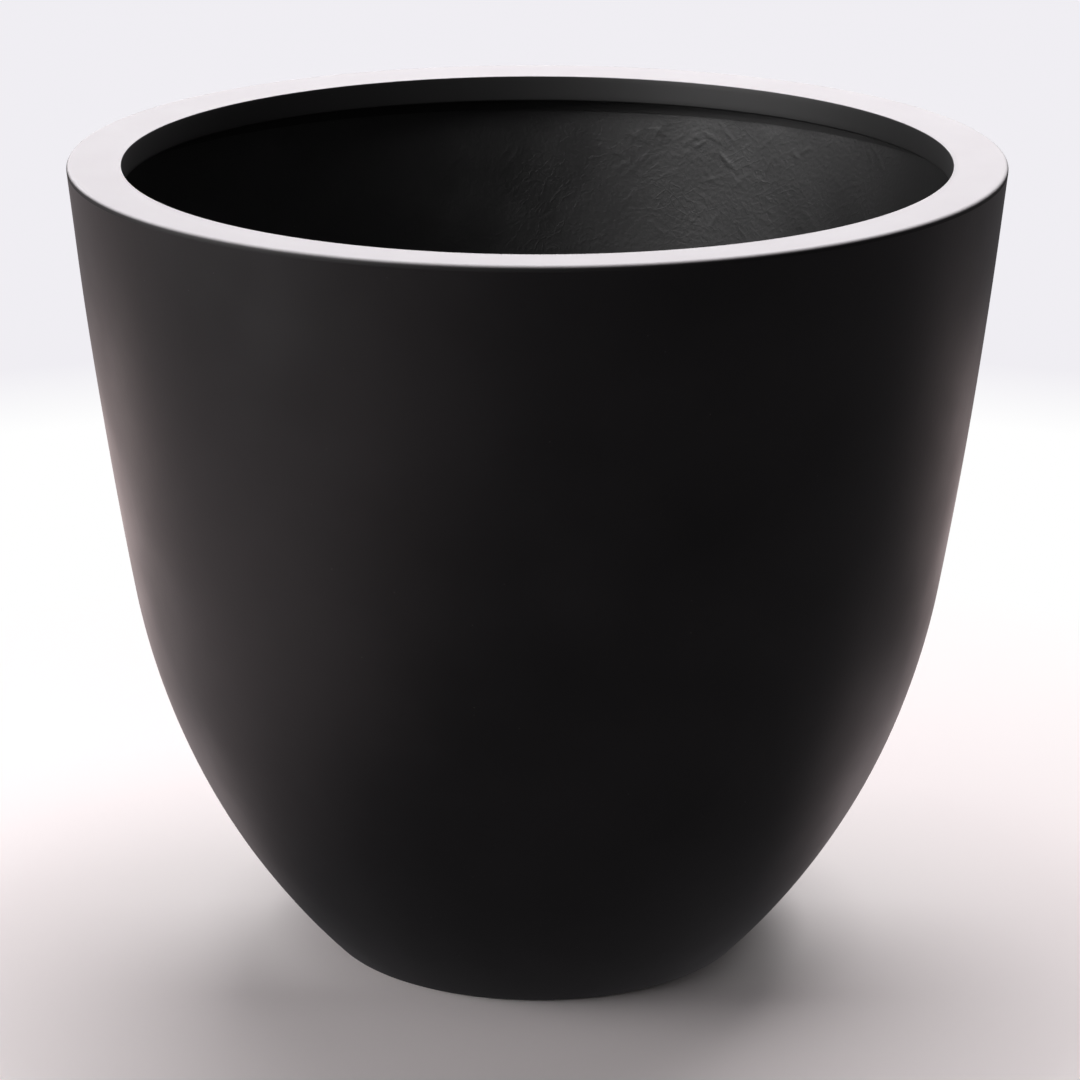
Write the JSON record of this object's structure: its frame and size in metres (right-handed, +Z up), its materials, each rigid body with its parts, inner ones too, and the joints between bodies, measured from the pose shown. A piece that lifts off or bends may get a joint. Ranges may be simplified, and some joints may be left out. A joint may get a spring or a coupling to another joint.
{
  "type": "fiberglass planter",
  "caption": "Large round black fiberglass floor planter with a flared bowl, a broad pale rim with an inner apron, and a plugged drain in a bonded base.",
  "frame": {"origin": "on the floor, on the planter's axis", "axes": "+Z up along the planter's axis, +Y away from the viewer, +X to the viewer's right"},
  "size_m": [0.9131, 0.913, 0.8028],
  "materials": {
    "shell_black": "satin black gelcoat outside, hand-laid laminate inside",
    "rim_pale": "pale satin paint on the top, black on the sides",
    "bond_grey": "cured adhesive",
    "laminate_dark": "rough hand-laid laminate",
    "drain_plastic": "moulded plastic",
    "rubber_black": "matte rubber"
  },
  "bodies": {
    "planter": {"outer_shell": "shell_black", "rim_ring": "rim_pale", "rim_bond": "bond_grey", "base_plate": "laminate_dark", "base_cove": "laminate_dark", "drain_flange": "drain_plastic", "drain_gasket": "rubber_black", "drain_nut": "drain_plastic", "foot_pads": "rubber_black"},
    "stopper": {"drain_plug": "rubber_black"}
  },
  "joints": [
    {"name": "plug_lift", "type": "slide", "parent": "planter", "child": "stopper", "axis": [0, 0, 1], "range_m": [0, 0.85]}
  ]
}
